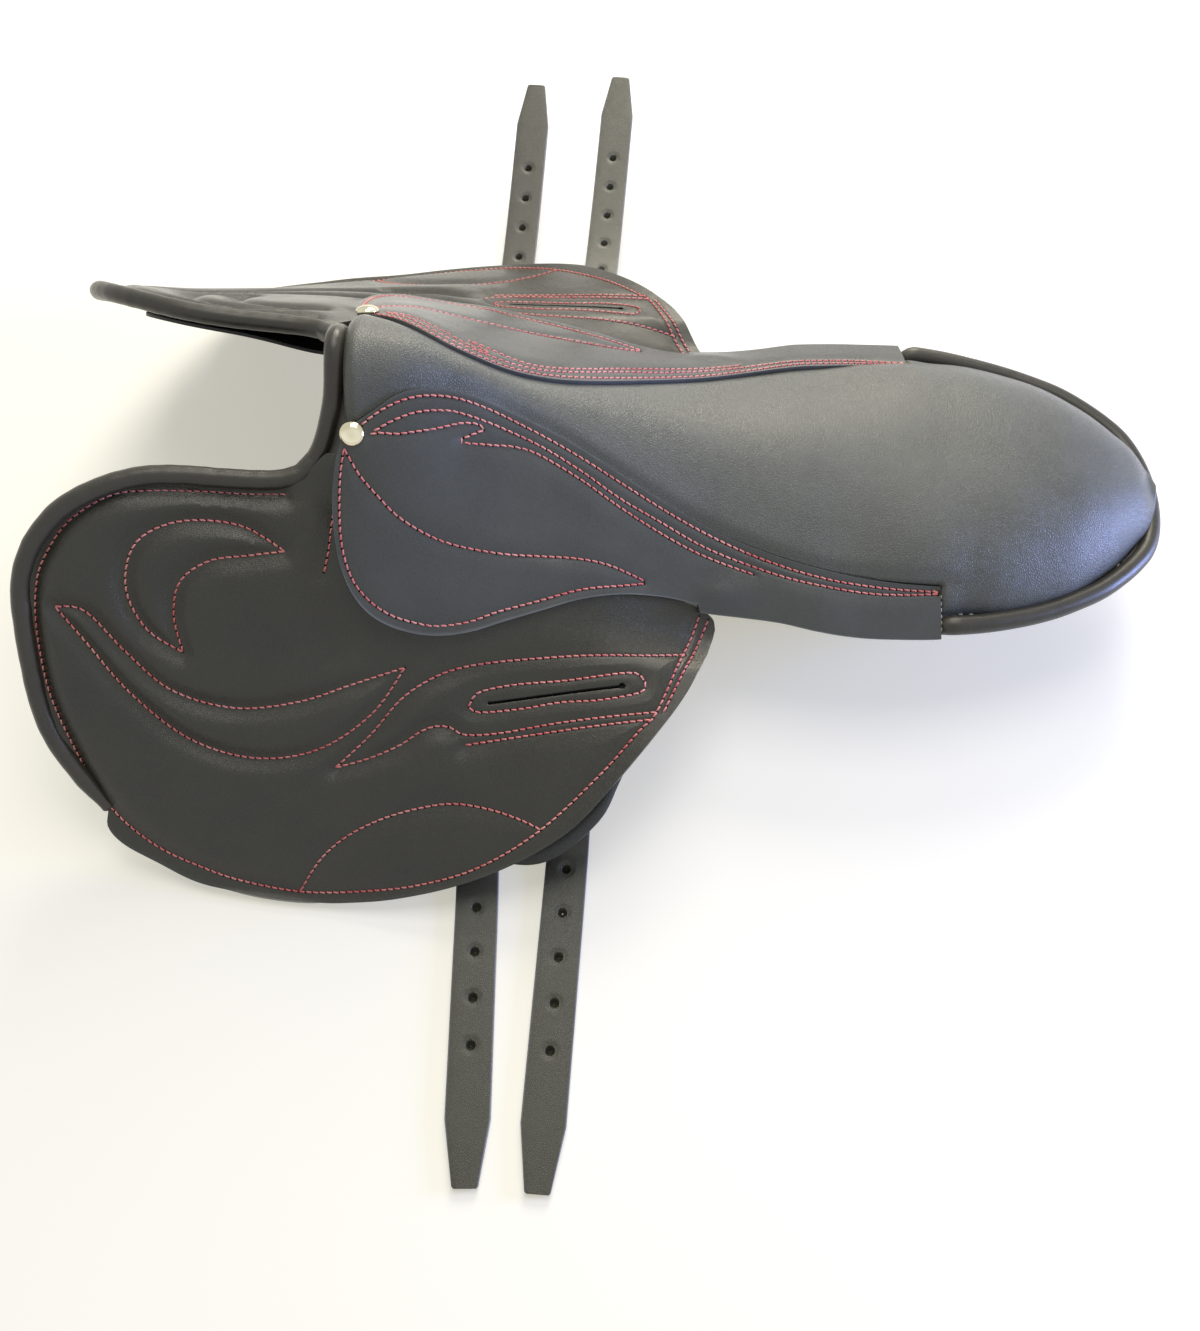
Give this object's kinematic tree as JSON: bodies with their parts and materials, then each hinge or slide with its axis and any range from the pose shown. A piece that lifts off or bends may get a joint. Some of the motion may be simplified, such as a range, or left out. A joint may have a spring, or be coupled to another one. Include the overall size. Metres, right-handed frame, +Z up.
{
  "type": "steeplechase saddle",
  "caption": "Light steeplechase saddle with a flat seat on a rigid tree, forward-cut lifting flaps with knee pads, skirts, panels and long punched girth straps.",
  "frame": {"origin": "centre of the object's bounding box in plan, on the ground the saddle lies on", "axes": "+X from pommel to cantle, +Y across to the far side, +Z up"},
  "size_m": [0.6508, 0.783, 0.1972],
  "materials": {
    "tree_shell": "moulded shell, satin",
    "plate_steel": "plain steel plate",
    "rivet_steel": "steel rivet",
    "bar_steel": "forged steel, satin",
    "nickel": "polished nickel",
    "linen_web": "woven linen webbing",
    "foam": "sheet foam",
    "wool_flock": "wool flock stuffing",
    "seat_leather": "grained leather, soft sheen",
    "skirt_leather": "smooth leather, semi-gloss",
    "roll_leather": "smooth rolled leather",
    "lining_leather": "matt lining leather",
    "strap_leather": "stout bridle leather, waxed",
    "flap_leather": "fine grained leather, satin"
  },
  "bodies": {
    "saddle": {"tree": "tree_shell", "head_plate": "plate_steel", "gullet_plate": "plate_steel", "straining_web": "linen_web", "seat_foam": "foam", "seat_cover": "seat_leather", "cantle_welt": "roll_leather", "pommel_roll": "roll_leather", "pommel_facing": "roll_leather", "girth_web_front": "linen_web", "girth_web_rear": "linen_web", "skirt_near": "skirt_leather", "pommel_nail_near": "nickel", "panel_near": "lining_leather", "panel_stuffing_near": "wool_flock", "stirrup_bar_near": "bar_steel", "head_rivet_near_high": "rivet_steel", "head_rivet_near_low": "rivet_steel", "bar_rivet_near_inner": "rivet_steel", "bar_rivet_near_outer": "rivet_steel", "skirt_far": "skirt_leather", "pommel_nail_far": "nickel", "panel_far": "lining_leather", "panel_stuffing_far": "wool_flock", "stirrup_bar_far": "bar_steel", "head_rivet_far_high": "rivet_steel", "head_rivet_far_low": "rivet_steel", "bar_rivet_far_inner": "rivet_steel", "bar_rivet_far_outer": "rivet_steel"},
    "flap_near": {"flap_near": "flap_leather", "front_roll_near": "roll_leather", "knee_pad_near": "foam", "flap_lining_near": "lining_leather"},
    "lobe_near": {"skirt_lobe_near": "skirt_leather"},
    "flap_far": {"flap_far": "flap_leather", "front_roll_far": "roll_leather", "knee_pad_far": "foam", "flap_lining_far": "lining_leather"},
    "lobe_far": {"skirt_lobe_far": "skirt_leather"},
    "girth_strap_near_front": {"girth_strap_near_front": "strap_leather"},
    "girth_strap_near_rear": {"girth_strap_near_rear": "strap_leather"},
    "girth_strap_far_front": {"girth_strap_far_front": "strap_leather"},
    "girth_strap_far_rear": {"girth_strap_far_rear": "strap_leather"}
  },
  "joints": [
    {"name": "flap_near_lift", "type": "hinge", "parent": "saddle", "child": "flap_near", "pos_m": [-0.165, -0.0465, 0.15072], "axis": [-0.9286, 0.1848, 0.3218], "range_deg": [0, 75]},
    {"name": "lobe_near_fold", "type": "hinge", "parent": "saddle", "child": "lobe_near", "pos_m": [-0.146, -0.042, 0.1744], "axis": [-0.8881, 0.1995, 0.4141], "range_deg": [0, 75]},
    {"name": "flap_far_lift", "type": "hinge", "parent": "saddle", "child": "flap_far", "pos_m": [-0.165, 0.0465, 0.15072], "axis": [0.9286, 0.1848, -0.3218], "range_deg": [0, 75]},
    {"name": "lobe_far_fold", "type": "hinge", "parent": "saddle", "child": "lobe_far", "pos_m": [-0.146, 0.042, 0.1744], "axis": [0.8881, 0.1995, -0.4141], "range_deg": [0, 75]},
    {"name": "girth_strap_near_front_swing", "type": "hinge", "parent": "saddle", "child": "girth_strap_near_front", "pos_m": [-0.085, -0.1118, 0.07496], "axis": [1, 0, 0], "range_deg": [0, 60]},
    {"name": "girth_strap_near_rear_swing", "type": "hinge", "parent": "saddle", "child": "girth_strap_near_rear", "pos_m": [-0.026, -0.1118, 0.06948], "axis": [1, 0, 0], "range_deg": [0, 60]},
    {"name": "girth_strap_far_front_swing", "type": "hinge", "parent": "saddle", "child": "girth_strap_far_front", "pos_m": [-0.088, 0.1118, 0.07526], "axis": [-1, 0, 0], "range_deg": [0, 60]},
    {"name": "girth_strap_far_rear_swing", "type": "hinge", "parent": "saddle", "child": "girth_strap_far_rear", "pos_m": [-0.025, 0.1118, 0.06937], "axis": [-1, 0, 0], "range_deg": [0, 60]}
  ],
  "couplings": [
    {"joint": "lobe_near_fold", "follows": "flap_near_lift", "ratio": 1},
    {"joint": "lobe_far_fold", "follows": "flap_far_lift", "ratio": 1}
  ]
}
